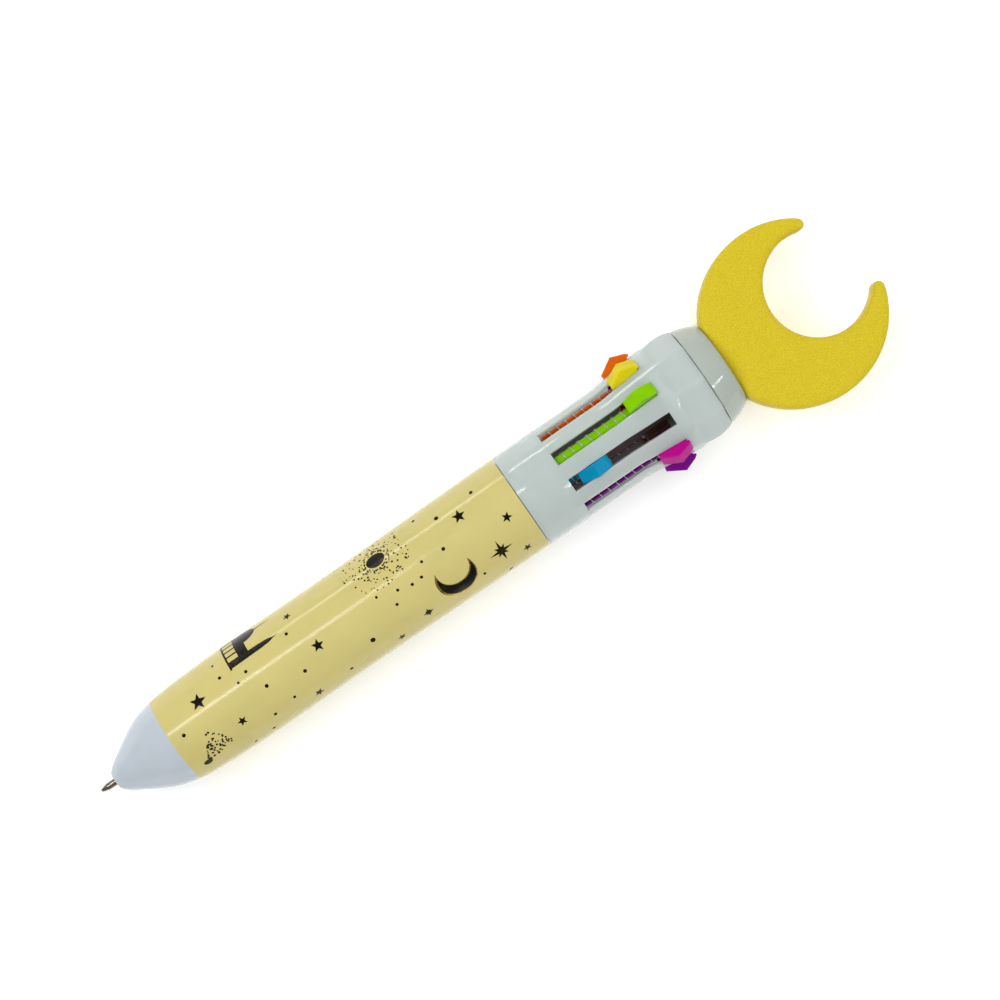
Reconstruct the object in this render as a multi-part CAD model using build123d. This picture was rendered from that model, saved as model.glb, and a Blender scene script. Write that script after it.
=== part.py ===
from build123d import *
import math
import os

# Ten colour click pen with a crescent moon on top, lying on its side. Millimetres.
# While it is modelled, x runs along the pen's axis, y = z = 0, from the writing tip (0) to the moon.
# A radial piece is modelled pointing up (+Z) and then turned about the axis to its own place.
# Blue is latched out, as the pen stands ready to write, and the other nine colours are retracted.

# Colours and their angle about the axis, from straight up, positive towards -Y
COLOURS = {
    "blue": 18,
    "magenta": 54,
    "purple": 90,
    "black": 126,
    "brown": 162,
    "red": 198,
    "navy": 234,
    "orange": 270,
    "yellow": 306,
    "green": 342,
}
PRESSED = "blue"
STATIONS = len(COLOURS)
EPS = 0.05

# Lengths along the axis
NOSE_X = 3.1
FILM_START = 15.7
SEAM_X = 88.3
SEAM_GAP = 0.05
BAND_END = 96.9
SLOT_START = 97.05
SLOT_END = 117.7
FLARE_START = 108.5
RING_START = 119.8
RING_PEAK = 123.2
STEP_X = 126.1
COLLAR_TOP = 130.6

# Radii of the barrels
NOSE_R = 1.6
NOSE_HOLE_R = 1.1
UPPER_R = 9.0
SLOTTED_R = 9.02
LOWER_END_R = 8.97
FILM_THICK = 0.15
BORE_R = 7.7
SPIGOT_R = 8.1
SPIGOT_BORE_R = 7.4
SPIGOT_START = 80.5
SOCKET_START = 80.2
SOCKET_CLEAR = 0.05
BEAD_X = 83.5
BEAD_H = 0.12
FLARE_R = 10.1
RING_R = 10.6
RING_END_R = 9.95
RING_FLAT = 10.14

# Slots and push buttons
SLOT_WIDTH = 2.6
HEAD_WIDTH = 2.45
HEAD_ROUND = 0.22
HEAD_EDGE_R = 10.3
WEB_WIDTH = 2.4
LIP_WIDTH = 2.84
LIP_LOW_R = 7.0
LIP_HIGH_R = 7.5
TRAVEL_X = 13.2
SINK = 2.1
STEM_R = 1.05
STEM_TOP_X = 117.0
SHOULDER_THICK = 0.7
WEB_TOP_R = 9.4
WEB_END_X = 117.5
STEM_PATH_R = 6.2
SHOULDER_X = 112.7
PIVOT_X = 84.0
PEG_R = 0.6
PEG_LENGTH = 2.5

# Springs and the seat that they push against
SEAT_START = 86.45
SEAT_END = 87.6
SEAT_INNER_R = 4.7
SEAT_SLOT_OUTER_R = 7.35
SEAT_SLOT_WIDTH = 2.3
SPRING_MEAN_R = 1.31
WIRE_R = 0.17
SPRING_TURNS = 15
SPRING_END_GAP = 0.04

# Refills
TUBE_R = 1.05
TUBE_BORE_R = 0.8
TIP_LENGTH = 9.4
TIP_SPIGOT = 3.0
TUBE_GAP = 0.15
RETRACTED_TIP_R = 5.0

# Guide core, collar and moon
CORE_R = 2.6
CORE_START = 88.8
CORE_SEAT_X = 119.0
CORE_FLANGE = 1.4
COLLAR_SOCKET_R = 8.45
COLLAR_FOOT_R = 9.55
COLLAR_TOP_R = 7.65
COLLAR_WALL = 1.6
PLUG_WALL = 1.2
STUD_R = 3.0
STUD_LENGTH = 5.6
STUD_CLEAR = 0.05
MOON_X = 145.5
MOON_R = 16.5
HOLLOW_R = 9.5
HOLLOW_OFFSET = 6.8
MOON_TURN = 17.9
HORN_HALF_ANGLE = 32.4
MOON_THICK = 8.0
MOON_CHAMFER = 0.7
HORN_ROUND = 0.8

PIVOT_PRESSED_X = PIVOT_X - TRAVEL_X
PRESSED_PATH_R = STEM_PATH_R - SINK
REFILL_LENGTH = math.hypot(PIVOT_PRESSED_X, PRESSED_PATH_R)
PRESSED_TILT = math.degrees(math.asin(PRESSED_PATH_R / REFILL_LENGTH))
RETRACTED_TILT = math.degrees(math.asin((STEM_PATH_R - RETRACTED_TIP_R) / REFILL_LENGTH))


def turned(*edges):
    """Solid of revolution about the pen's axis, from a closed chain of (x, radius) edges."""
    return revolve(make_face(list(edges)), Axis.X)


def turned_points(*points):
    """Solid of revolution about the pen's axis, from the (x, radius) corners of its section."""
    return turned(Polyline(*points, close=True))


def rod(start, end, radius):
    """Round bar on the axis."""
    return turned_points((start, 0), (end, 0), (end, radius), (start, radius))


def ring(start, end, inner, outer):
    """Tube on the axis."""
    return turned_points((start, inner), (end, inner), (end, outer), (start, outer))


def plate(width, *points):
    """Flat piece in the plane of the axis and +Z, from its (x, radius) corners, centred on that plane."""
    return extrude(Plane.XZ * make_face(Polyline(*points, close=True)), width / 2, both=True)


def body_line(inset):
    """The lower barrel's long taper, from the film's edge to the seam, moved inwards by inset."""
    corners = [(FILM_START, 8.02), (19.0, 8.34), (45.0, 8.64), (SEAM_X, LOWER_END_R)]
    return Spline([(x, r - inset) for x, r in corners], tangents=[(1, 0.16), (1, 0.004)])


def lower_barrel():
    """White tube with a bullet nose. Its body is lower by the film's thickness, which leaves a small step."""
    nose_points = [(NOSE_X, NOSE_R), (6.3, 4.0), (10.5, 6.42), (FILM_START, 8.02)]
    nose = Spline(nose_points, tangents=[(0.7, 0.9), (1, 0.2)])
    body = body_line(FILM_THICK)
    socket_r = SPIGOT_R + SOCKET_CLEAR
    inside = Polyline(
        body @ 1,
        (SEAM_X, socket_r),
        (SOCKET_START, socket_r),
        (SOCKET_START, 7.55),
        (18.0, 7.0),
        (12.0, 5.7),
        (8.0, 3.4),
        (5.0, NOSE_HOLE_R),
        (NOSE_X, NOSE_HOLE_R),
        (NOSE_X, NOSE_R),
    )
    barrel = turned(nose, Line(nose @ 1, body @ 0), body, inside)
    groove_r = socket_r + BEAD_H + SOCKET_CLEAR
    groove = turned_points((BEAD_X - 0.6, socket_r - EPS), (BEAD_X, groove_r), (BEAD_X + 0.6, socket_r - EPS))
    return barrel - groove


def printed_sleeve():
    """Cream film that wraps the lower barrel from the nose to the seam."""
    outer = body_line(0)
    inner = body_line(FILM_THICK)
    return turned(outer, Line(outer @ 1, inner @ 1), inner, Line(inner @ 0, outer @ 0))


def slots():
    """The ten long slots that the buttons travel in."""
    slot = Box(SLOT_END - SLOT_START, SLOT_WIDTH, 2 * RING_R)
    slot = Pos((SLOT_START + SLOT_END) / 2, 0, BORE_R - 1 + RING_R) * slot
    return [Rot(X=angle) * slot for angle in COLOURS.values()]


def ring_corners():
    """What the ring loses where its ten flats are cut."""
    length = STEP_X - RING_START + 1
    blank = extrude(Plane.YZ.offset(RING_START) * Circle(RING_R + 1), length)
    flats = RegularPolygon(RING_FLAT, STATIONS, major_radius=False)
    return blank - extrude(Plane.YZ.offset(RING_START) * flats, length)


def upper_barrel():
    """White tube: a plain band, a slotted length with a slight draft, a flare, and a ring with ten flats."""
    front = SEAM_X + SEAM_GAP
    flare_points = [
        (FLARE_START, SLOTTED_R),
        (112.5, 9.45),
        (RING_START - 1, FLARE_R),
        (RING_PEAK, RING_R),
        (STEP_X, RING_END_R),
    ]
    flare = Spline(flare_points, tangents=[(1, 0), (1, -0.45)])
    rest = Polyline(
        flare @ 1,
        (STEP_X, COLLAR_SOCKET_R),
        (CORE_SEAT_X, COLLAR_SOCKET_R),
        (CORE_SEAT_X, BORE_R),
        (SEAT_START - EPS, BORE_R),
        (SEAT_START - EPS, SPIGOT_BORE_R),
        (SPIGOT_START, SPIGOT_BORE_R),
        (SPIGOT_START, SPIGOT_R),
        (BEAD_X - 0.5, SPIGOT_R),
        (BEAD_X, SPIGOT_R + BEAD_H),
        (BEAD_X + 0.5, SPIGOT_R),
        (front, SPIGOT_R),
        (front, UPPER_R),
        (BAND_END, UPPER_R),
        (FLARE_START, SLOTTED_R),
    )
    return turned(flare, rest) - slots() - ring_corners()


def guide_core():
    """Central post that keeps the stems in their places, on a flange that closes the barrel's back."""
    post = rod(CORE_START, CORE_SEAT_X, CORE_R)
    post = chamfer(post.edges().sort_by(Axis.X)[0], 0.8)
    flange = rod(CORE_SEAT_X, CORE_SEAT_X + CORE_FLANGE, COLLAR_SOCKET_R - SOCKET_CLEAR)
    return post + flange


def topper_collar():
    """Glossy cap: a plug in the barrel, a tapering shoulder, and a stud with a bead that holds the moon."""
    plug_r = COLLAR_SOCKET_R - SOCKET_CLEAR
    plug_start = CORE_SEAT_X + CORE_FLANGE + SEAM_GAP
    foot = STEP_X + SEAM_GAP
    stud_end = COLLAR_TOP + STUD_LENGTH
    shoulder_points = [(foot, COLLAR_FOOT_R), (128.2, 9.02), (130.0, 8.2), (COLLAR_TOP, COLLAR_TOP_R)]
    shoulder = Spline(shoulder_points, tangents=[(1, -0.1), (0.6, -1)])
    rest = Polyline(
        (COLLAR_TOP, COLLAR_TOP_R),
        (COLLAR_TOP, STUD_R),
        (stud_end - 1.6, STUD_R),
        (stud_end - 1.1, STUD_R + BEAD_H),
        (stud_end - 0.6, STUD_R),
        (stud_end - 0.3, STUD_R),
        (stud_end, STUD_R - 0.3),
        (stud_end, 0),
        (COLLAR_TOP - COLLAR_WALL, 0),
        (COLLAR_TOP - COLLAR_WALL, plug_r - COLLAR_WALL),
        (foot, plug_r - PLUG_WALL),
        (plug_start, plug_r - PLUG_WALL),
        (plug_start, plug_r),
        (foot, plug_r),
        (foot, COLLAR_FOOT_R),
    )
    return turned(shoulder, rest)


def moon_topper():
    """Crescent with blunt round horns, a flat foot on the collar, and a socket for the collar's stud."""
    middle = Pos(MOON_X, 0)
    hollow = middle * Rot(Z=MOON_TURN) * Pos(HOLLOW_OFFSET, 0) * Circle(HOLLOW_R)
    reach = 2 * MOON_R
    half_mouth = reach * math.tan(math.radians(HORN_HALF_ANGLE))
    mouth = make_face(Polyline((0, 0), (reach, half_mouth), (reach, -half_mouth), close=True))
    crescent = middle * Circle(MOON_R) - hollow - middle * Rot(Z=MOON_TURN) * mouth
    crescent -= Pos(COLLAR_TOP - reach / 2, 0) * Rectangle(reach, reach)
    horns = crescent.vertices().filter_by(lambda v: v.X > MOON_X)
    crescent = fillet(horns, HORN_ROUND)
    moon = extrude(crescent, MOON_THICK / 2, both=True)
    flat_z = MOON_THICK / 2 - EPS
    sides = moon.edges().filter_by(lambda e: abs(e.center().Z) > flat_z and e.center().X > COLLAR_TOP + EPS)
    moon = chamfer(sides, MOON_CHAMFER)
    stud_end = COLLAR_TOP + STUD_LENGTH + 0.1
    socket_r = STUD_R + STUD_CLEAR
    socket = turned_points(
        (COLLAR_TOP - 1, 0),
        (COLLAR_TOP - 1, socket_r),
        (stud_end - 1.9, socket_r),
        (stud_end - 1.2, socket_r + BEAD_H),
        (stud_end - 0.5, socket_r),
        (stud_end, socket_r),
        (stud_end, 0),
    )
    return moon - socket


def spring_seat():
    """Disc with ten open slots: the stems pass through it, the springs push on the fingers between them."""
    disc = ring(SEAT_START, SEAT_END, SEAT_INNER_R, BORE_R - SOCKET_CLEAR)
    half = SEAT_SLOT_WIDTH / 2
    middle_r = SEAT_SLOT_OUTER_R - half
    thick = SEAT_END - SEAT_START + 1
    slot = Pos((SEAT_START + SEAT_END) / 2, 0, middle_r / 2) * Box(thick, SEAT_SLOT_WIDTH, middle_r)
    slot += extrude(Plane.YZ.offset(SEAT_START - 0.5) * Pos(0, middle_r) * Circle(half), thick)
    return disc - [Rot(X=angle) * slot for angle in COLOURS.values()]


def slider():
    """Push button, retracted: faceted head, web in the slot, retaining lips, and a long stem with a peg."""
    head = plate(
        HEAD_WIDTH,
        (112.2, 9.3),
        (112.1, 10.05),
        (115.1, 11.85),
        (117.5, 10.95),
        (118.2, 10.42),
        (117.8, 10.16),
        (117.55, 10.16),
        (117.55, 9.3),
    )
    head = fillet(head.edges().filter_by(lambda e: e.center().Z > HEAD_EDGE_R), HEAD_ROUND)
    web = plate(WEB_WIDTH, (SHOULDER_X, STEM_PATH_R), (SHOULDER_X, WEB_TOP_R), (WEB_END_X, WEB_TOP_R),
                (WEB_END_X, STEM_PATH_R))
    lips = plate(LIP_WIDTH, (113.1, LIP_LOW_R), (113.1, LIP_HIGH_R), (117.2, LIP_HIGH_R), (117.2, LIP_LOW_R))
    stem = rod(PIVOT_X, STEM_TOP_X, STEM_R) + rod(PIVOT_X - PEG_LENGTH, PIVOT_X, PEG_R)
    shoulder = rod(SHOULDER_X, SHOULDER_X + SHOULDER_THICK, WEB_WIDTH / 2)
    return head + web + lips + Pos(0, 0, STEM_PATH_R) * (stem + shoulder)


def spring(length):
    """Coil spring on the axis, from 0 to length, counting the thickness of the wire."""
    rise = length - 2 * WIRE_R
    path = Helix(pitch=rise / SPRING_TURNS, height=rise, radius=SPRING_MEAN_R)
    section = Plane(origin=path @ 0, z_dir=path % 0) * Circle(WIRE_R)
    coil = sweep(section, path=path, is_frenet=True)
    return Pos(WIRE_R, 0, 0) * Rot(Y=90) * coil


def refill_tip():
    """Metal writing tip with its ball at 0, along +X: cone, neck, cone and the spigot in the tube."""
    return turned_points(
        (0, 0),
        (0, 0.14),
        (0.12, 0.29),
        (0.35, 0.36),
        (1.3, 0.66),
        (5.4, 0.68),
        (8.7, TUBE_R),
        (TIP_LENGTH, TUBE_R),
        (TIP_LENGTH, TUBE_BORE_R),
        (TIP_LENGTH + TIP_SPIGOT, TUBE_BORE_R),
        (TIP_LENGTH + TIP_SPIGOT, 0),
    )


def refill_tube():
    """Ink tube, from the metal tip to the slider's stem."""
    return ring(TIP_LENGTH, REFILL_LENGTH - TUBE_GAP, TUBE_BORE_R, TUBE_R)


def refill_place(pressed):
    """Where a refill lies: its ball's place, and its tilt towards the nose hole."""
    if pressed:
        return Rot(Y=-PRESSED_TILT)
    tip_x = PIVOT_X - REFILL_LENGTH * math.cos(math.radians(RETRACTED_TILT))
    return Pos(tip_x, 0, RETRACTED_TIP_R) * Rot(Y=-RETRACTED_TILT)


def colour_set(colour, angle):
    """The slider, spring and refill of one colour, at their station round the axis."""
    pressed = colour == PRESSED
    shift = Pos(-TRAVEL_X, 0, -SINK) if pressed else Pos(0, 0, 0)
    path_r = PRESSED_PATH_R if pressed else STEM_PATH_R
    shoulder_x = SHOULDER_X - (TRAVEL_X if pressed else 0)
    spring_start = SEAT_END + SPRING_END_GAP
    coil = spring(shoulder_x - SPRING_END_GAP - spring_start)
    place = refill_place(pressed)
    turn = Rot(X=angle)
    return {
        f"slider_{colour}": turn * shift * slider(),
        f"spring_{colour}": turn * Pos(spring_start, 0, path_r) * coil,
        f"refill_tube_{colour}": turn * place * refill_tube(),
        f"refill_tip_{colour}": turn * place * refill_tip(),
    }


def pen():
    """Every piece by name, with the pen's box centred over the origin and standing on z = 0."""
    pieces = {
        "lower_barrel": lower_barrel(),
        "printed_sleeve": printed_sleeve(),
        "upper_barrel": upper_barrel(),
        "guide_core": guide_core(),
        "spring_seat": spring_seat(),
        "topper_collar": topper_collar(),
        "moon_topper": moon_topper(),
    }
    for colour, angle in COLOURS.items():
        pieces.update(colour_set(colour, angle))
    boxes = [piece.bounding_box() for piece in pieces.values()]
    middle_x = (min(box.min.X for box in boxes) + max(box.max.X for box in boxes)) / 2
    middle_y = (min(box.min.Y for box in boxes) + max(box.max.Y for box in boxes)) / 2
    bottom = min(box.min.Z for box in boxes)
    to_frame = Pos(-middle_x, -middle_y, -bottom)
    return {name: to_frame * piece for name, piece in pieces.items()}


def main():
    """Write one STEP file for each piece."""
    os.makedirs("parts", exist_ok=True)
    for name, piece in pen().items():
        export_step(piece, f"parts/{name}.step")


main()
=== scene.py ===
import math
import random

import bmesh
import bpy
import numpy as np
from mathutils import Euler, Matrix, Vector


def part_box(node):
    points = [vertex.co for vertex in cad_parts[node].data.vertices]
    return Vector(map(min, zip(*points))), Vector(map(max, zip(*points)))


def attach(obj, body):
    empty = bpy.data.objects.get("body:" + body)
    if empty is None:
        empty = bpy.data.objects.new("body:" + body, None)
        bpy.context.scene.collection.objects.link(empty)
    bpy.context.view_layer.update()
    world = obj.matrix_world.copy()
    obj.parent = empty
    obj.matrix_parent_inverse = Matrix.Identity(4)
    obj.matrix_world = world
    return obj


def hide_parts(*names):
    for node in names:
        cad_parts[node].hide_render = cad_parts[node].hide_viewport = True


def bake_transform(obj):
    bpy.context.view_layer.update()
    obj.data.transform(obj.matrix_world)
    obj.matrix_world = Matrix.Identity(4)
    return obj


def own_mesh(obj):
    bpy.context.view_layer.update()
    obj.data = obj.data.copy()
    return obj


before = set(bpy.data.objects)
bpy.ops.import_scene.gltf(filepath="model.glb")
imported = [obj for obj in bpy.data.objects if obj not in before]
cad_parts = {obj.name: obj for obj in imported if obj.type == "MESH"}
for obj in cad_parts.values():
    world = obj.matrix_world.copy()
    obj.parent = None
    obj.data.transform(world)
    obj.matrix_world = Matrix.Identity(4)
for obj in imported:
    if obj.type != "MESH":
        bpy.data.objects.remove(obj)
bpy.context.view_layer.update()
random.seed(7)

# Ten colour click pen. A place on it is x from the writing tip along the pen's axis and r from the axis, in
# millimetres, and an angle in degrees about the axis from straight up, positive towards -Y.
MM = 0.001
COLOURS = {
    "blue": 18,
    "magenta": 54,
    "purple": 90,
    "black": 126,
    "brown": 162,
    "red": 198,
    "navy": 234,
    "orange": 270,
    "yellow": 306,
    "green": 342,
}
PRESSED = "blue"
NOSE_X = 3.1
barrel_low, barrel_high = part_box("lower_barrel")
TIP_X = barrel_low[0] - NOSE_X * MM
AXIS_Z = (barrel_low[2] + barrel_high[2]) / 2


def place(x, r, angle):
    """The point at x along the pen, r from its axis, at an angle about it, in the row frame."""
    a = math.radians(angle)
    return Vector((TIP_X + x * MM, -r * MM * math.sin(a), AXIS_Z + r * MM * math.cos(a)))


def linear(red, green, blue):
    """A colour given as 0 to 255 screen values, as the shader's linear values."""
    values = [c / 255 for c in (red, green, blue)]
    return [c / 12.92 if c <= 0.04045 else ((c + 0.055) / 1.055) ** 2.4 for c in values] + [1]


# Materials

# Most of a noise's values lie between these.
NOISE_LOW = 0.3
NOISE_HIGH = 0.7


def noise(nodes, links, coordinates, scale, detail=3.0, roughness=0.55):
    """Noise with about this many grains to the millimetre."""
    texture = nodes.new("ShaderNodeTexNoise")
    texture.inputs["Scale"].default_value = scale / MM
    texture.inputs["Detail"].default_value = detail
    texture.inputs["Roughness"].default_value = roughness
    links.new(coordinates, texture.inputs["Vector"])
    return texture.outputs["Fac"]


def surface(name, shades, cloud, grain, gloss, bump, **settings):
    """Procedural material: shades are blended by a cloudy noise, gloss is the range of roughness that a
    finer grain gives, and bump is the depth in millimetres of a relief of that grain. Settings go on the
    shader itself."""
    material = bpy.data.materials.new(name)
    material.use_nodes = True
    nodes, links = material.node_tree.nodes, material.node_tree.links
    shader = nodes["Principled BSDF"]
    for socket, value in settings.items():
        shader.inputs[socket.replace("_", " ")].default_value = value
    coordinates = nodes.new("ShaderNodeTexCoord").outputs["Object"]
    ramp = nodes.new("ShaderNodeValToRGB")
    stops = ramp.color_ramp.elements
    while len(stops) < len(shades):
        stops.new(0.5)
    for i, colour in enumerate(shades):
        stops[i].position = NOISE_LOW + (NOISE_HIGH - NOISE_LOW) * i / max(1, len(shades) - 1)
        stops[i].color = colour
    links.new(noise(nodes, links, coordinates, cloud), ramp.inputs["Fac"])
    links.new(ramp.outputs["Color"], shader.inputs["Base Color"])
    fine = noise(nodes, links, coordinates, grain, 4.0)
    spread = nodes.new("ShaderNodeMapRange")
    spread.inputs["From Min"].default_value = NOISE_LOW
    spread.inputs["From Max"].default_value = NOISE_HIGH
    spread.inputs["To Min"].default_value = gloss[0]
    spread.inputs["To Max"].default_value = gloss[1]
    links.new(fine, spread.inputs["Value"])
    links.new(spread.outputs["Result"], shader.inputs["Roughness"])
    relief = nodes.new("ShaderNodeBump")
    relief.inputs["Strength"].default_value = 1.0
    relief.inputs["Distance"].default_value = bump * MM
    links.new(fine, relief.inputs["Height"])
    links.new(relief.outputs["Normal"], shader.inputs["Normal"])
    return material


def shade(colour, factor):
    """A lighter or darker version of a linear colour."""
    return [min(1.0, c * factor) for c in colour[:3]] + [1]


def two_shades(colour, spread=0.05):
    return [shade(colour, 1 - spread), shade(colour, 1 + spread)]


WHITE = linear(200, 211, 207)
white_plastic = surface(
    "white_plastic", two_shades(WHITE, 0.02), 0.15, 3.0, (0.08, 0.14), 0.0006,
    Subsurface_Weight=0.6, Subsurface_Radius=(0.0035, 0.0032, 0.003), Subsurface_Scale=1.0, IOR=1.42,
)
nose_plastic = surface(
    "nose_plastic", two_shades(linear(199, 208, 217), 0.02), 0.15, 3.0, (0.09, 0.15), 0.0005, IOR=1.45,
)
# The guide core's mauve brown is painted shade: a dark, tinted colour that stands in for the shadowed inside
# seen through the slots.
core_plastic = surface(
    "core_plastic", two_shades(linear(112, 92, 90), 0.08), 0.5, 4.0, (0.3, 0.45), 0.002, IOR=1.45,
)
collar_plastic = surface(
    "collar_plastic", two_shades(linear(186, 196, 187), 0.02), 0.15, 3.0, (0.05, 0.08), 0.0004, IOR=1.45,
)
FILM = linear(218, 204, 130)
cream_film = surface(
    "cream_film", [shade(FILM, 0.96), FILM, shade(FILM, 1.03)], 0.12, 1.2, (0.12, 0.18), 0.0008, IOR=1.34,
)
moon_vinyl = surface(
    "moon_vinyl", [linear(198, 160, 6), linear(219, 192, 22), linear(228, 208, 34), linear(240, 226, 56)],
    6.5, 6.5, (0.62, 0.85), 0.014, IOR=1.45, Sheen_Weight=0.15, Sheen_Roughness=0.5,
)
spring_steel = surface(
    "spring_steel", [linear(196, 196, 198), linear(236, 236, 233)], 1.5, 8.0, (0.18, 0.34), 0.002,
    Metallic=0.45,
)
tip_metal = surface(
    "tip_metal", [linear(138, 126, 112), linear(186, 176, 162)], 0.8, 6.0, (0.16, 0.3), 0.001, Metallic=1.0,
)
# The dark foil is painted reflection: gold foil that mirrors a dark room, given a near-black colour. Its
# shapes are real print.
foil_painted_dark_reflection = surface(
    "foil_painted_dark_reflection", [linear(18, 15, 8), linear(26, 21, 10), linear(58, 46, 20)], 0.35, 4.0, (0.2, 0.34), 0.001,
    Metallic=0.5, IOR=1.4,
)
foil_gold = surface(
    "foil_gold", [linear(120, 92, 30), linear(190, 158, 74), linear(220, 196, 120)], 0.7, 4.0, (0.2, 0.34),
    0.001, Metallic=0.9,
)
PLASTIC = {
    "blue": linear(0, 151, 195),
    "magenta": linear(194, 0, 144),
    "purple": linear(130, 0, 146),
    "black": linear(26, 26, 30),
    "brown": linear(132, 78, 66),
    "red": linear(205, 12, 22),
    "navy": linear(14, 42, 118),
    "orange": linear(230, 106, 0),
    "yellow": linear(228, 212, 18),
    "green": linear(140, 211, 0),
}


def button_plastic(colour):
    return surface(
        f"{colour}_plastic", two_shades(PLASTIC[colour], 0.06), 0.6, 5.0, (0.2, 0.3), 0.0015,
        Subsurface_Weight=0.3, Subsurface_Radius=(0.0009, 0.0009, 0.0009), Subsurface_Scale=1.0, IOR=1.25,
    )


def ink_tube(colour):
    ink = shade(PLASTIC[colour], 0.8)
    return surface(
        f"{colour}_ink_tube", two_shades(ink, 0.1), 0.8, 4.0, (0.14, 0.22), 0.001,
        Coat_Weight=0.8, Coat_Roughness=0.06, IOR=1.48,
    )


def finish(node, material):
    """Gives a CAD node its material."""
    mesh_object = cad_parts[node]
    mesh_object.data.materials.clear()
    mesh_object.data.materials.append(material)


# Meshes


def piece(name, mesh_data, material, body="root"):
    """A new visible piece from a bmesh, on a body."""
    mesh = bpy.data.meshes.new(name)
    bmesh.ops.recalc_face_normals(mesh_data, faces=mesh_data.faces)
    mesh_data.to_mesh(mesh)
    mesh_data.free()
    mesh.materials.append(material)
    made = bpy.data.objects.new(name, mesh)
    bpy.context.scene.collection.objects.link(made)
    if body:
        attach(made, body)
    return made


def smooth(made, angle=35):
    """Smooth shading, with edges sharper than angle kept."""
    for polygon in made.data.polygons:
        polygon.use_smooth = True
    made.data.set_sharp_from_angle(angle=math.radians(angle))


# Printed foil on the film

FOIL_LOW = -0.01
FOIL_HIGH = 0.02
FOIL_STEP = 0.55
OVERLAY_LIFT = 0.015
SPECK_SIDES = 7

film_low, film_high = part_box("printed_sleeve")
film_box_r = (film_high[1] - film_low[1]) / 2


def film_profile():
    """The film's outer radius at each x, read from its CAD mesh."""
    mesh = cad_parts["printed_sleeve"].data
    outward = set()
    for face in mesh.polygons:
        if face.normal.y * face.center.y + face.normal.z * (face.center.z - AXIS_Z) > 0.5 * film_box_r:
            outward.update(face.vertices)
    points = np.array([mesh.vertices[i].co for i in sorted(outward)])
    x = np.round((points[:, 0] - TIP_X) / MM, 2)
    r = np.hypot(points[:, 1], points[:, 2] - AXIS_Z) / MM
    stations = np.unique(x)
    return stations, np.array([r[x == station].max() for station in stations])


film_x, film_r = film_profile()


def film_radius(x):
    return float(np.interp(x, film_x, film_r))


def foil_outline(bm, outline, lift=0.0):
    """Adds one printed patch, a thin closed plate over the film, from its outline's (x, angle) corners."""
    middle_x = sum(p[0] for p in outline) / len(outline)
    scale = math.radians(1) * film_radius(middle_x)
    flat = bmesh.new()
    face = flat.faces.new([flat.verts.new((x, angle * scale, 0)) for x, angle in outline])
    face.normal_update()
    bmesh.ops.triangulate(flat, faces=[face])
    for axis in (0, 1):
        values = [v.co[axis] for v in flat.verts]
        cut = math.floor(min(values) / FOIL_STEP) * FOIL_STEP + FOIL_STEP
        while cut < max(values) and max(values) - min(values) > 1.5 * FOIL_STEP:
            point, normal = [0, 0, 0], [0, 0, 0]
            point[axis], normal[axis] = cut, 1
            geometry = flat.verts[:] + flat.edges[:] + flat.faces[:]
            bmesh.ops.bisect_plane(flat, geom=geometry, dist=1e-5, plane_co=point, plane_no=normal)
            cut += FOIL_STEP
    bmesh.ops.triangulate(flat, faces=flat.faces[:])
    flat.verts.index_update()
    layers = []
    for level in (FOIL_LOW, FOIL_HIGH + lift):
        verts = {}
        for v in flat.verts:
            x, angle = v.co.x, v.co.y / scale
            verts[v.index] = bm.verts.new(place(x, film_radius(x) + level, angle))
        layers.append(verts)
    low, high = layers
    for f in flat.faces:
        bm.faces.new([high[v.index] for v in f.verts])
        bm.faces.new([low[v.index] for v in reversed(f.verts)])
    for e in flat.edges:
        if e.is_boundary:
            a, b = e.verts[0].index, e.verts[1].index
            bm.faces.new([high[a], low[a], low[b], high[b]])
    flat.free()


def around(x, angle, offsets):
    """Outline corners from offsets in millimetres about a place on the film."""
    scale = math.radians(1) * film_radius(x)
    return [(x + across, angle + along / scale) for across, along in offsets]


def star(bm, x, angle, radius, rays=5, waist=0.42, turn=0.0, short=1.0):
    """A star; every second ray may be short."""
    offsets = []
    for i in range(2 * rays):
        reach = radius * (waist if i % 2 else (short if (i // 2) % 2 else 1.0))
        a = turn + math.pi * i / rays
        offsets.append((reach * math.cos(a), reach * math.sin(a)))
    foil_outline(bm, around(x, angle, offsets))


def dot(bm, x, angle, radius, squeeze=1.0, sides=10):
    offsets = [
        (radius * math.cos(2 * math.pi * i / sides), squeeze * radius * math.sin(2 * math.pi * i / sides))
        for i in range(sides)
    ]
    foil_outline(bm, around(x, angle, offsets))


# Each star is its x, its angle and its radius, and so is each dot.
STARS = [
    (23.4, -22, 1.57), (44.0, -50, 0.8), (27.8, 26, 0.95), (45.8, 3, 1.2), (41.2, 57, 0.95),
    (58.3, 60, 0.8), (78.1, -27, 1.3), (84.8, 5, 1.0), (84.8, 52, 0.85),
]
DOTS = [
    (28.6, -52, 0.25), (28.7, -31, 0.31), (33.1, -19, 0.31), (31.0, -13, 0.25), (18.2, 1, 0.35),
    (34.7, 8, 0.35), (42.4, -29, 0.31), (41.5, 19, 0.35), (37.4, 39, 0.28), (33.0, 44, 0.31),
    (27.3, 68, 0.28), (31.2, 65, 0.31), (54.0, 36, 0.47), (48.1, 55, 0.31), (71.1, -62, 0.31),
    (74.7, -42, 0.41), (82.1, -44, 0.35), (66.9, -56, 0.25), (68.5, -8, 0.28), (72.8, -6, 0.35),
    (67.0, 6, 0.28), (65.0, 7, 0.28), (62.4, 3, 0.28), (60.9, 16, 0.28), (58.7, -4, 0.25),
    (76.2, 48, 0.28), (80.4, 73, 0.38),
]


# The far side's print lies within these, no closer together than the gap.
BACK_COUNT = 70
BACK_X = (18, 86)
BACK_ANGLE = (98, 262)
BACK_GAP = 2.6
MM_PER_DEGREE = 0.15


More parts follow.
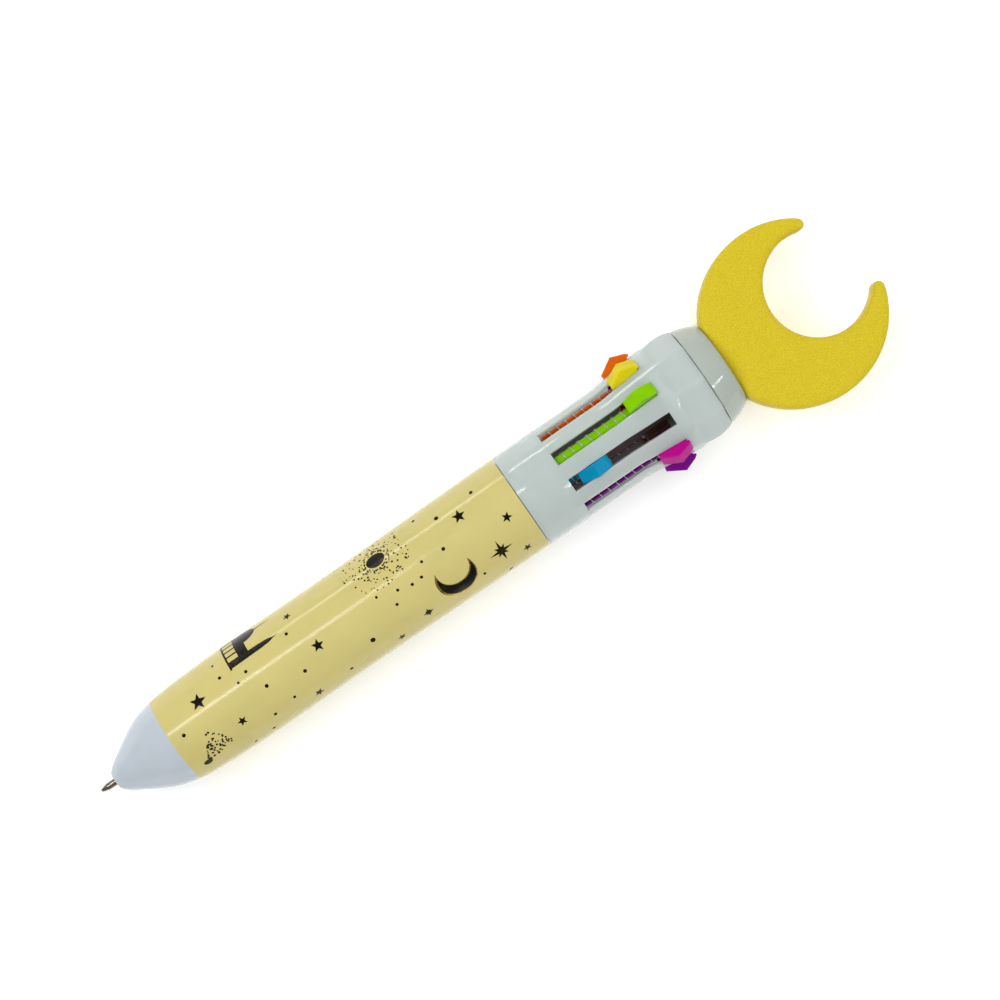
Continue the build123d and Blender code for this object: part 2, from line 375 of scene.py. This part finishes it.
def night_sky(bm):
    """Stars and dots on the visible side, and more of the same kind round the back."""
    for i, (x, angle, size) in enumerate(STARS):
        star(bm, x, angle, size, turn=0.4 * i)
    star(bm, 64.5, 49, 1.05, rays=8, waist=0.46, short=0.66)
    star(bm, 80.8, 34, 2.3, rays=8, waist=0.31, short=0.6)
    for x, angle, size in DOTS:
        dot(bm, x, angle, size)
    taken = []
    while len(taken) < BACK_COUNT:
        x, angle = random.uniform(*BACK_X), random.uniform(*BACK_ANGLE)
        gaps = [math.hypot(x - p[0], (angle - p[1]) * MM_PER_DEGREE) for p in taken]
        if min(gaps, default=math.inf) > BACK_GAP:
            taken.append((x, angle))
    for i, (x, angle) in enumerate(taken):
        if i % 4 == 0:
            star(bm, x, angle, random.uniform(0.8, 1.5), turn=random.uniform(0, 1))
        elif i % 17 == 3:
            star(bm, x, angle, 2.2, rays=8, waist=0.31, short=0.6)
        else:
            dot(bm, x, angle, random.uniform(0.25, 0.42))


TAIL_DOTS = 70
TAIL_START = 0.12


def comet(bm, x, angle, far, spread):
    """A comet: an oval head, and a tail of fine dots that widens to a far x between two angles."""
    dot(bm, x, angle, 0.85, squeeze=0.67, sides=16)
    low, high = spread
    for _ in range(TAIL_DOTS):
        share = TAIL_START + (1 - TAIL_START) * random.random() ** 0.8
        side = random.random()
        end_x = far[0] + (far[1] - far[0]) * side
        end_angle = low + (high - low) * side
        dot_x, dot_angle = x + (end_x - x) * share, angle + (end_angle - angle) * share
        dot(bm, dot_x, dot_angle, random.uniform(0.13, 0.23), sides=SPECK_SIDES)


DISC_R = 1.79
DISC_SQUEEZE = 0.8
SPRAY_DOTS = 190
SPRAY_START_R = 2.1
SPRAY_WIDTH = 4.6
SPRAY_SQUEEZE = 0.85


def sunburst(bm, x, angle):
    """A round disc in a spray of fine dots that thins out with distance."""
    dot(bm, x, angle, DISC_R, squeeze=DISC_SQUEEZE, sides=24)
    scale = math.radians(1) * film_radius(x)
    for _ in range(SPRAY_DOTS):
        reach = SPRAY_START_R + SPRAY_WIDTH * random.random() ** 1.6
        a = random.uniform(0, 2 * math.pi)
        dot_x, dot_angle = x + reach * math.cos(a), angle + SPRAY_SQUEEZE * reach * math.sin(a) / scale
        dot(bm, dot_x, dot_angle, random.uniform(0.09, 0.2), sides=SPECK_SIDES)


# The hall's heights are in millimetres along the barrel and its widths in degrees about it.
STEP_TOP = 0.35
ARCADE_TOP = 2.35
CORNICE_TOP = 3.2
ROOF_TOP = 4.3
COLUMNS = 6
COLUMN_WIDTH = 2.2
DOME_RISE = 3.7
DOME_HALF_WIDTH = 13
DOME_STEPS = 24
SPIRE = [(6.7, 1.2), (8.4, 0.7), (10.0, 0)]
TOWER = [(STEP_TOP, 4.3), (6.4, 3.6), (8.2, 2.7), (9.2, 0.6), (10.3, 0)]


def block(bm, low_x, high_x, low, high):
    """A patch between two x and two angles."""
    foil_outline(bm, [(low_x, low), (high_x, low), (high_x, high), (low_x, high)])


def pinnacle(bm, x, angle, profile):
    """A patch alike on both sides of its angle, from its (height, half width) corners up to its tip."""
    left = [(x + height, angle - half) for height, half in profile]
    right = [(x + height, angle + half) for height, half in reversed(profile[:-1])]
    foil_outline(bm, left + right)


def domed_hall(bm, x, middle, width=60):
    """A domed hall with an arcade and a slim tower, standing on a line round the barrel at x."""
    low, high = middle - width / 2, middle + width / 2
    hall_low, hall_high = low + 3, high - 9
    block(bm, x, x + STEP_TOP, low, high)
    block(bm, x + ARCADE_TOP, x + CORNICE_TOP, hall_low, hall_high)
    for i in range(COLUMNS):
        a = hall_low + (hall_high - 2 - hall_low) * i / (COLUMNS - 1)
        block(bm, x + STEP_TOP, x + ARCADE_TOP, a, a + COLUMN_WIDTH)
    block(bm, x + CORNICE_TOP, x + ROOF_TOP, low + 9, hall_high)
    centre = low + 22
    dome = []
    for i in range(DOME_STEPS + 1):
        t = math.pi * i / DOME_STEPS
        rise = DOME_RISE * math.sin(t) ** 0.8
        dome.append((x + CORNICE_TOP + rise, centre - DOME_HALF_WIDTH * math.cos(t)))
    foil_outline(bm, dome)
    pinnacle(bm, x, centre, SPIRE)
    pinnacle(bm, x, high - 6, TOWER)


HORN_STEPS = 8


def arc(centre, radius, start, end, steps):
    """Points from one angle to another about a centre, in radians."""
    angles = [start + (end - start) * i / steps for i in range(steps + 1)]
    return [(centre[0] + radius * math.cos(a), centre[1] + radius * math.sin(a)) for a in angles]


def blunt_end(outer, reach, angle, side):
    """Corners round a horn's end, from the outer arc to the hollow one, or back where side is -1."""
    middle, radius = (outer + reach) / 2, (outer - reach) / 2
    points = []
    for i in range(1, HORN_STEPS):
        t = math.pi * i / HORN_STEPS
        along, over = middle + side * radius * math.cos(t), side * radius * math.sin(t)
        points.append((along * math.cos(angle) - over * math.sin(angle),
                       along * math.sin(angle) + over * math.cos(angle)))
    return points


def crescent(outer, inner, offset, turn, horn=None, steps=36):
    """Outline of a crescent: an outer arc and a hollow arc whose centre is offset towards turn. The arcs
    meet in sharp tips, or stop at blunt ends where horn gives half the mouth's angle at the centre."""
    sharp = horn is None
    if sharp:
        horn = math.acos((outer ** 2 + offset ** 2 - inner ** 2) / (2 * outer * offset))
        reach = outer
    else:
        reach = offset * math.cos(horn) + math.sqrt(inner ** 2 - (offset * math.sin(horn)) ** 2)
    bend = math.atan2(reach * math.sin(horn), reach * math.cos(horn) - offset)
    outside = arc((0, 0), outer, turn + horn, turn + 2 * math.pi - horn, steps)
    centre = (offset * math.cos(turn), offset * math.sin(turn))
    hollow = arc(centre, inner, turn + 2 * math.pi - bend, turn + bend, steps)
    if sharp:
        return outside + hollow[1:-1]
    first, last = blunt_end(outer, reach, turn - horn, 1), blunt_end(outer, reach, turn + horn, -1)
    return outside + first + hollow + last


# The x and angle of each printed crescent, and the way its mouth is turned.
CRESCENTS = [(71.9, 29, -84), (47.0, 232, 80)]


def printed_foil():
    dark = bmesh.new()
    night_sky(dark)
    comet(dark, 18.8, 49, (21.4, 25.6), (9, 39))
    comet(dark, 52.0, 170, (56.0, 60.2), (150, 176))
    sunburst(dark, 62.0, -43)
    gold = bmesh.new()
    # Each crescent is a gold rim under a dark face: painted reflection, with the bright and dark reflections
    # of mirror gold foil given as two colours.
    for x, angle, turn in CRESCENTS:
        rim, face = crescent(3.8, 3.1, 1.9, math.radians(turn)), crescent(3.5, 3.25, 1.85, math.radians(turn))
        foil_outline(gold, around(x, angle, rim))
        foil_outline(dark, around(x + 0.1, angle, face), OVERLAY_LIFT)
    piece("foil_gold_print", gold, foil_gold)
    domed_hall(dark, 31.0, -60)
    domed_hall(dark, 66.0, 205)
    piece("foil_print", dark, foil_painted_dark_reflection)


# Springs

SHOULDER_X = 112.66
SEAT_X = 87.64
TRAVEL_X = 13.2
STEM_R = 6.2
SINK = 2.1
WIRE_R = 0.095
COIL_R = 1.16
COIL_TURNS = 16
CLOSED_TURNS = 1.1
CLOSED_PITCH = 2 * WIRE_R * 1.03
TURN_STEPS = 32
WIRE_SIDES = 8


def coil(start, end):
    """Compression spring from start to end along x at the axis, with closed end turns."""
    open_turns = COIL_TURNS - 2 * CLOSED_TURNS
    pitch = (end - start - 2 * WIRE_R - 2 * CLOSED_TURNS * CLOSED_PITCH) / open_turns
    forward = Vector((1, 0, 0))
    bm = bmesh.new()
    rings = []
    for i in range(COIL_TURNS * TURN_STEPS + 1):
        turn = i / TURN_STEPS
        opened = min(max(turn - CLOSED_TURNS, 0), open_turns)
        x = start + WIRE_R + CLOSED_PITCH * (turn - opened) + pitch * opened
        a = 2 * math.pi * turn
        outward = Vector((0, math.cos(a), math.sin(a)))
        centre = Vector((x, 0, 0)) + COIL_R * outward
        rings.append([
            bm.verts.new(centre + WIRE_R * (outward * math.cos(t) + forward * math.sin(t)))
            for t in (2 * math.pi * k / WIRE_SIDES for k in range(WIRE_SIDES))
        ])
    for a, b in zip(rings, rings[1:]):
        for k in range(WIRE_SIDES):
            j = (k + 1) % WIRE_SIDES
            bm.faces.new([a[k], a[j], b[j], b[k]])
    bm.faces.new(rings[0])
    bm.faces.new(list(reversed(rings[-1])))
    return bm


def springs():
    for colour, angle in COLOURS.items():
        pressed = colour == PRESSED
        end = SHOULDER_X - (TRAVEL_X if pressed else 0)
        path_r = STEM_R - (SINK if pressed else 0)
        bm = coil(SEAT_X, end)
        for v in bm.verts:
            a = math.radians(angle)
            y, z = v.co.y, v.co.z + path_r
            v.co = (TIP_X + v.co.x * MM, (y * math.cos(a) - z * math.sin(a)) * MM,
                    AXIS_Z + (y * math.sin(a) + z * math.cos(a)) * MM)
        body = None if pressed else f"slider_{colour}"
        made = piece(f"coil_{colour}", bm, spring_steel, body)
        smooth(made, 60)
        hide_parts(f"spring_{colour}")
        if pressed:
            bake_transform(made)
        else:
            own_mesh(made)


# Moon

MOON_X = 145.5
MOON_R = 16.5
HOLLOW_R = 9.5
HOLLOW_OFFSET = 6.8
MOON_TURN = 17.9
HORN_HALF_ANGLE = 34.6
MOON_THICK = 8.0
COLLAR_TOP = 130.6
MOON_VOXEL = 0.26
MOON_STEPS = 300
RELAX_STEPS = 60


def moon_outline():
    """The crescent's outline as (x, y) from the moon's centre, with its foot cut flat on the collar."""
    turn, horn = math.radians(MOON_TURN), math.radians(HORN_HALF_ANGLE)
    points = crescent(MOON_R, HOLLOW_R, HOLLOW_OFFSET, turn, horn, MOON_STEPS)
    foot = COLLAR_TOP - MOON_X
    return [p for p in points if p[0] > foot]


def moon():
    """Soft crescent: its outline gets a thickness, and is remeshed finely and relaxed to round its edges."""
    bm = bmesh.new()
    layers = [
        [bm.verts.new((TIP_X + (MOON_X + x) * MM, y * MM, AXIS_Z + z * MM)) for x, y in moon_outline()]
        for z in (-MOON_THICK / 2, MOON_THICK / 2)
    ]
    bm.faces.new(layers[0])
    bm.faces.new(layers[1])
    count = len(layers[0])
    for i in range(count):
        j = (i + 1) % count
        bm.faces.new([layers[0][i], layers[0][j], layers[1][j], layers[1][i]])
    made = piece("moon_soft", bm, moon_vinyl)
    remesh = made.modifiers.new("remesh", "REMESH")
    remesh.mode = "VOXEL"
    remesh.voxel_size = MOON_VOXEL * MM
    relax = made.modifiers.new("relax", "SMOOTH")
    relax.factor = 0.5
    relax.iterations = RELAX_STEPS
    depsgraph = bpy.context.evaluated_depsgraph_get()
    finished = bpy.data.meshes.new_from_object(made.evaluated_get(depsgraph))
    made.modifiers.clear()
    made.data = finished
    for polygon in made.data.polygons:
        polygon.use_smooth = True
    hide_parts("moon_topper")


# Upper barrel

SEAM_X = 88.42
SPIGOT_X = 80.5
SPIGOT_R = 8.1
SPIGOT_BORE_R = 7.4
BORE_START = 86.4
BORE_R = 7.7
SLOT_START = 97.05
SLOT_END = 117.7
SLOT_HALF = 1.3
UPPER_R = 9.0
FLARE_START = 108.5
RING_START = 119.2
RING_FULL = 120.7
STEP_X = 126.04
SOCKET_X = 119.0
SOCKET_R = 8.45
FLAT_DEPTH = 0.46
RIDGE_SOFTNESS = 0.02
EDGE_ROUND = 0.13
SLOT_WALL = 0.6
STATIONS = len(COLOURS)
FIRST_SLOT = COLOURS["blue"]
SLOTTED_R = 9.02
FLARE = [(FLARE_START, SLOTTED_R), (112.5, 9.45), (118.8, 10.1), (123.2, 10.6), (STEP_X, 9.95)]
CREST = 3
LIP_SLOPE = -0.45
BAND_ROWS = (91, 94)
BORE_ROW = 92
SLOT_ROWS = 26
RING_ROWS = 28
WEB_COLUMNS = 9


def flare_radius(x):
    """The barrel's round outline: straight, then a smooth curve through the flare's points."""
    if x <= FLARE_START:
        return UPPER_R + (SLOTTED_R - UPPER_R) * max(0, x - SLOT_START) / (FLARE_START - SLOT_START)
    xs, rs = zip(*FLARE)
    slopes = [0.0]
    for i in range(1, len(xs) - 1):
        slopes.append((rs[i + 1] - rs[i - 1]) / (xs[i + 1] - xs[i - 1]))
    slopes[CREST] = 0.0
    slopes.append(LIP_SLOPE)
    i = min(len(xs) - 2, max(j for j in range(len(xs)) if xs[j] <= x))
    span = xs[i + 1] - xs[i]
    t = (x - xs[i]) / span
    return (rs[i] * (1 + 2 * t) * (1 - t) ** 2 + slopes[i] * span * t * (1 - t) ** 2
            + rs[i + 1] * t * t * (3 - 2 * t) + slopes[i + 1] * span * t * t * (t - 1))


def barrel_radius(x, from_ridge):
    """The outside with its ten soft flats, at an angle in degrees from the nearest ridge between flats."""
    base = flare_radius(x)
    ramp = min(1.0, max(0.0, (x - RING_START) / (RING_FULL - RING_START)))
    depth = FLAT_DEPTH * ramp * ramp * (3 - 2 * ramp)
    if depth == 0:
        return base
    flat = (base - depth) / math.cos(math.radians(180 / STATIONS - from_ridge))
    blend = math.exp(-base / RIDGE_SOFTNESS) + math.exp(-flat / RIDGE_SOFTNESS)
    return -RIDGE_SOFTNESS * math.log(blend)


def barrel_rows():
    """x and radius along the outside and along the inside; a radius of None follows the outline. The wall is
    thinned from inside along the slots."""
    slot_rows = [SLOT_START + (SLOT_END - SLOT_START) * i / SLOT_ROWS for i in range(SLOT_ROWS + 1)]
    ring_rows = [SLOT_END + (STEP_X - SLOT_END) * i / RING_ROWS for i in range(1, RING_ROWS + 1)]
    outside = [(SPIGOT_X, SPIGOT_R), (SEAM_X, SPIGOT_R), (SEAM_X, None)]
    outside += [(x, None) for x in (*BAND_ROWS, *slot_rows, *ring_rows)]
    inside = [(SPIGOT_X, SPIGOT_BORE_R), (BORE_START, SPIGOT_BORE_R)]
    inside += [(BORE_START, BORE_R), (BORE_ROW, BORE_R), (SLOT_START - 1, BORE_R)]
    inside += [(x, flare_radius(x) - SLOT_WALL) for x in slot_rows]
    inside += [(SOCKET_X, BORE_R), (SOCKET_X, SOCKET_R), (STEP_X, SOCKET_R)]
    return outside, inside


def barrel_columns():
    """Columns round one station: each is a side, -1 or 1, and its share of the way from the slot's edge to
    the ridge between stations, or a share of the slot's half width where it is negative."""
    web = [i / WEB_COLUMNS for i in range(WEB_COLUMNS)]
    slot = [(-1, -0.5), (1, -1.0), (1, -0.5)]
    return [(-1, share) for share in reversed(web)] + slot + [(1, share) for share in web] + [(1, 1.0)]


def barrel_ring(bm, x, fixed, columns):
    """Corners round the barrel at x, at a fixed radius or, where that is None, on the outline."""
    ring = []
    base = fixed or flare_radius(x)
    edge = math.degrees(math.asin(SLOT_HALF / base))
    for station in range(STATIONS):
        for side, share in columns:
            if share < 0:
                offset = edge * (1 + share)
            else:
                offset = edge + (180 / STATIONS - edge) * share
            r = fixed or barrel_radius(x, 180 / STATIONS - offset)
            ring.append(bm.verts.new(place(x, r, FIRST_SLOT + 360 / STATIONS * station + side * offset)))
    return ring


def close_slots(bm, skins, open_cells):
    """Makes the walls between the two skins round each slot. The cells are (skin, row, column). Returns the
    walls' outer edges as pairs of corners."""
    count = len(skins[0][0])
    first_row, inner_first_row = (min(i for skin, i, k in open_cells if skin == index) for index in (0, 1))
    shift = inner_first_row - first_row
    soft_edges = []
    for index, i, k in open_cells:
        if index == 1:
            continue
        sides = [((i, k), (i + 1, k), (i, k - 1)), ((i, k + 1), (i + 1, k + 1), (i, k + 1)),
                 ((i, k), (i, k + 1), (i - 1, k)), ((i + 1, k), (i + 1, k + 1), (i + 1, k))]
        for a, b, neighbour in sides:
            if (0, neighbour[0], neighbour[1] % count) in open_cells:
                continue
            a, b = (a[0], a[1] % count), (b[0], b[1] % count)
            outer = skins[0][a[0]][a[1]], skins[0][b[0]][b[1]]
            inner = skins[1][a[0] + shift][a[1]], skins[1][b[0] + shift][b[1]]
            bm.faces.new([outer[0], outer[1], inner[1], inner[0]])
            soft_edges.append(outer)
    return soft_edges


def barrel_shell():
    """White tube with ten slots whose outer edges are softened, and a ring of soft flats."""
    bm = bmesh.new()
    columns = barrel_columns()
    both_rows = barrel_rows()
    skins = [[barrel_ring(bm, x, fixed, columns) for x, fixed in rows] for rows in both_rows]
    count = len(skins[0][0])
    per = len(columns)
    slot_columns = {k for k in range(per) if any(columns[j % per][1] < 0 for j in (k, k + 1))}
    open_cells = set()
    for index, (rows, skin) in enumerate(zip(both_rows, skins)):
        for i in range(len(skin) - 1):
            in_slot = SLOT_START - 0.01 < rows[i][0] and rows[i + 1][0] < SLOT_END + 0.01
            for k in range(count):
                if in_slot and k % per in slot_columns:
                    open_cells.add((index, i, k))
                    continue
                j = (k + 1) % count
                bm.faces.new([skin[i][k], skin[i][j], skin[i + 1][j], skin[i + 1][k]])
    for k in range(count):
        j = (k + 1) % count
        for row in (0, -1):
            bm.faces.new([skins[0][row][k], skins[0][row][j], skins[1][row][j], skins[1][row][k]])
    edges = [bm.edges.get(pair) for pair in close_slots(bm, skins, open_cells)]
    for rim in (skins[0][2], skins[0][-1]):
        edges += [bm.edges.get((rim[k], rim[(k + 1) % count])) for k in range(count)]
    bmesh.ops.recalc_face_normals(bm, faces=bm.faces)
    bmesh.ops.bevel(bm, geom=edges, offset=EDGE_ROUND * MM, segments=2, affect="EDGES", profile=0.5)
    made = piece("slotted_barrel", bm, white_plastic)
    smooth(made, 40)
    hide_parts("upper_barrel")


# The pen

finish("lower_barrel", nose_plastic)
finish("printed_sleeve", cream_film)
finish("topper_collar", collar_plastic)
finish("spring_seat", white_plastic)
finish("guide_core", core_plastic)
for colour in COLOURS:
    finish(f"slider_{colour}", button_plastic(colour))
    finish(f"refill_tube_{colour}", ink_tube(colour))
    finish(f"refill_tip_{colour}", tip_metal)
printed_foil()
barrel_shell()
springs()
moon()

# Floor, light and camera. The pen rests on two buttons and on its barrel, so the floor slopes up to the tip.

REST_HIGH_X = 19.5
REST_LOW_X = 115.1


# The floor's half width and gap, and the lights' sizes and distances, are in metres.
FLOOR_HALF = 3.0
FLOOR_GAP = 0.0001
FLOOR_GLOW = 0.36
# SHADE_TONE, SHADE_LENGTH, SHADE_WIDTH and SHADE_EDGE darken and size a painted contact shadow on the floor
# under the pen.
SHADE_TONE = 0.2
SHADE_LENGTH = 52
SHADE_WIDTH = 8.5
SHADE_EDGE = (0.8, 1.05)


def shade_floor(material, low_x):
    """Painted contact shadow: right under the pen the floor is darker and doesn't glow."""
    nodes, links = material.node_tree.nodes, material.node_tree.links
    shader = nodes["Principled BSDF"]
    mapping = nodes.new("ShaderNodeMapping")
    mapping.inputs["Scale"].default_value = (1 / (SHADE_LENGTH * MM), 1 / (SHADE_WIDTH * MM), 0)
    mapping.inputs["Location"].default_value = (low_x / (SHADE_LENGTH * MM), 0, 0)
    links.new(nodes.new("ShaderNodeTexCoord").outputs["Object"], mapping.inputs["Vector"])
    unsigned = nodes.new("ShaderNodeVectorMath")
    unsigned.operation = "ABSOLUTE"
    links.new(mapping.outputs["Vector"], unsigned.inputs[0])
    sides = nodes.new("ShaderNodeSeparateXYZ")
    links.new(unsigned.outputs["Vector"], sides.inputs["Vector"])
    distance = nodes.new("ShaderNodeMath")
    distance.operation = "MAXIMUM"
    links.new(sides.outputs["X"], distance.inputs[0])
    links.new(sides.outputs["Y"], distance.inputs[1])
    levels = []
    for inner, outer in ((0.0, FLOOR_GLOW), (SHADE_TONE, 1.0)):
        level = nodes.new("ShaderNodeMapRange")
        level.interpolation_type = "SMOOTHSTEP"
        level.inputs["From Min"].default_value = SHADE_EDGE[0]
        level.inputs["From Max"].default_value = SHADE_EDGE[1]
        level.inputs["To Min"].default_value = inner
        level.inputs["To Max"].default_value = outer
        links.new(distance.outputs["Value"], level.inputs["Value"])
        levels.append(level.outputs["Result"])
    glow, tone = levels
    links.new(glow, shader.inputs["Emission Strength"])
    darken = nodes.new("ShaderNodeVectorMath")
    darken.operation = "SCALE"
    links.new(shader.inputs["Base Color"].links[0].from_socket, darken.inputs[0])
    links.new(tone, darken.inputs["Scale"])
    links.new(darken.outputs["Vector"], shader.inputs["Base Color"])


def floor():
    low = place(REST_LOW_X, 0, 0)
    low.z = 0
    high = place(REST_HIGH_X, film_radius(REST_HIGH_X), 180)
    slope = math.atan2(high.z - low.z, low.x - high.x)
    mesh = bpy.data.meshes.new("floor")
    corners = [(x * FLOOR_HALF, y * FLOOR_HALF, 0) for x, y in ((-1, -1), (1, -1), (1, 1), (-1, 1))]
    mesh.from_pydata(corners, [], [(0, 1, 2, 3)])
    made = bpy.data.objects.new("floor", mesh)
    made.location = (low.x, 0, -FLOOR_GAP)
    made.rotation_euler = Euler((0, slope, 0))
    bpy.context.scene.collection.objects.link(made)
    pale = linear(248, 248, 248)
    material = surface(
        "pale_floor", two_shades(pale, 0.005), 0.02, 0.2, (0.85, 0.95), 0.0, IOR=1.3,
        Emission_Color=(1, 1, 1, 1),
    )
    shade_floor(material, low.x)
    mesh.materials.append(material)


def lamp(name, centre, target, width, height, power, mirrored=True):
    """Soft rectangular light that faces target, its width along the pen. It may stay out of reflections."""
    data = bpy.data.lights.new(name, "AREA")
    data.shape = "RECTANGLE"
    data.size = width
    data.size_y = height
    data.energy = power
    made = bpy.data.objects.new(name, data)
    back = (centre - target).normalized()
    along = Vector((1, 0, 0))
    along = (along - back * along.dot(back)).normalized()
    turned = Matrix((along, back.cross(along), back)).transposed().to_4x4()
    made.matrix_world = Matrix.Translation(centre) @ turned
    made.visible_glossy = mirrored
    bpy.context.scene.collection.objects.link(made)


def strip(name, low_x, high_x, lean, width, power, distance=0.5):
    """Strip light along the pen, leaning by an angle from straight up, positive towards -Y."""
    a = math.radians(lean)
    middle = place((low_x + high_x) / 2, 0, 0)
    centre = middle + Vector((0, -distance * math.sin(a), distance * math.cos(a)))
    lamp(name, centre, middle, (high_x - low_x) * MM, width, power)


floor()
strip("strip_a", low_x=-200, high_x=31, lean=-21, width=0.055, power=0.56)
strip("strip_b", low_x=2, high_x=109, lean=-74, width=0.05, power=0.16)
strip("strip_c", low_x=220, high_x=650, lean=29.4, width=0.011, power=0.35)
strip("strip_d", low_x=220, high_x=650, lean=32.8, width=0.011, power=0.35)
key_centre = place(60, 0, 0) + Vector((0, 0.2, 1.28))
lamp("key", key_centre, place(80, 0, 0), width=1.4, height=0.9, power=8.2, mirrored=False)

world = bpy.data.worlds.new("studio")
world.use_nodes = True
world.node_tree.nodes["Background"].inputs["Color"].default_value = (1, 1, 1, 1)
world.node_tree.nodes["Background"].inputs["Strength"].default_value = 0.26
bpy.context.scene.world = world
bpy.context.scene.view_settings.view_transform = "Standard"

# The camera looks straight down on the pen, which lies slanted in its view.
CAMERA_X = 85.5
CAMERA_RISE = 554
CAMERA_SHIFT = 2.3
CAMERA_TURN = -34.6

camera_data = bpy.data.cameras.new("camera")
camera_data.lens = 115
camera_data.sensor_width = 36
camera_data.clip_start = 0.01
camera = bpy.data.objects.new("camera", camera_data)
camera.location = place(CAMERA_X, CAMERA_RISE, 0) + Vector((0, CAMERA_SHIFT * MM, 0))
camera.rotation_euler = (0, 0, math.radians(CAMERA_TURN))
bpy.context.scene.collection.objects.link(camera)
bpy.context.scene.camera = camera
